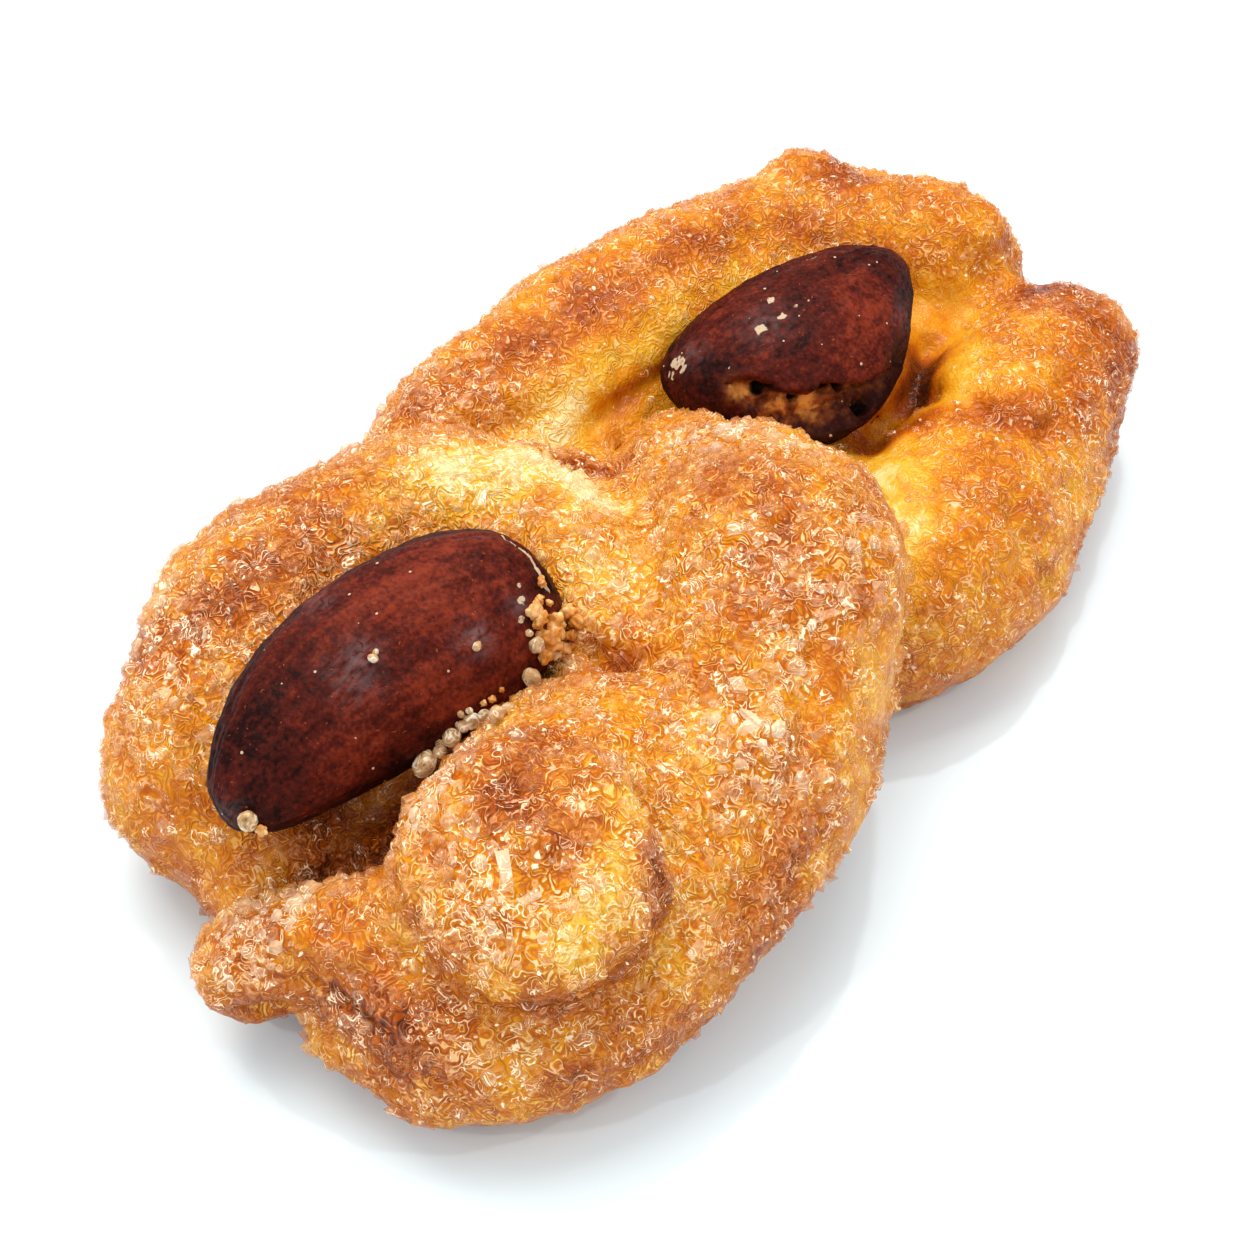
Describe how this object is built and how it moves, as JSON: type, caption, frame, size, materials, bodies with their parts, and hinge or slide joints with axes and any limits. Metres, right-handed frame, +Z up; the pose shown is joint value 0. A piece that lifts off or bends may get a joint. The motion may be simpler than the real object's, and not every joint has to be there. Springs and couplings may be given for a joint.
{
  "type": "twisted almond biscuit",
  "caption": "Biscuit of twisted, sugared dough, baked golden brown, with a whole roasted almond set in each of its eyes.",
  "frame": {"origin": "middle of the biscuit's footprint, on the surface that it rests on", "axes": "+Y along the biscuit, from its pinched end to its far eye; +X across it; +Z up"},
  "size_m": [0.0469, 0.0843, 0.0237],
  "materials": {
    "crust": "baked golden-brown crust under clear coarse sugar",
    "almond_skin": "dark roasted almond skin, finely wrinkled, slightly glossy"
  },
  "bodies": {
    "root": {"dough": "crust", "almond_near": "almond_skin", "almond_far": "almond_skin"}
  },
  "joints": []
}
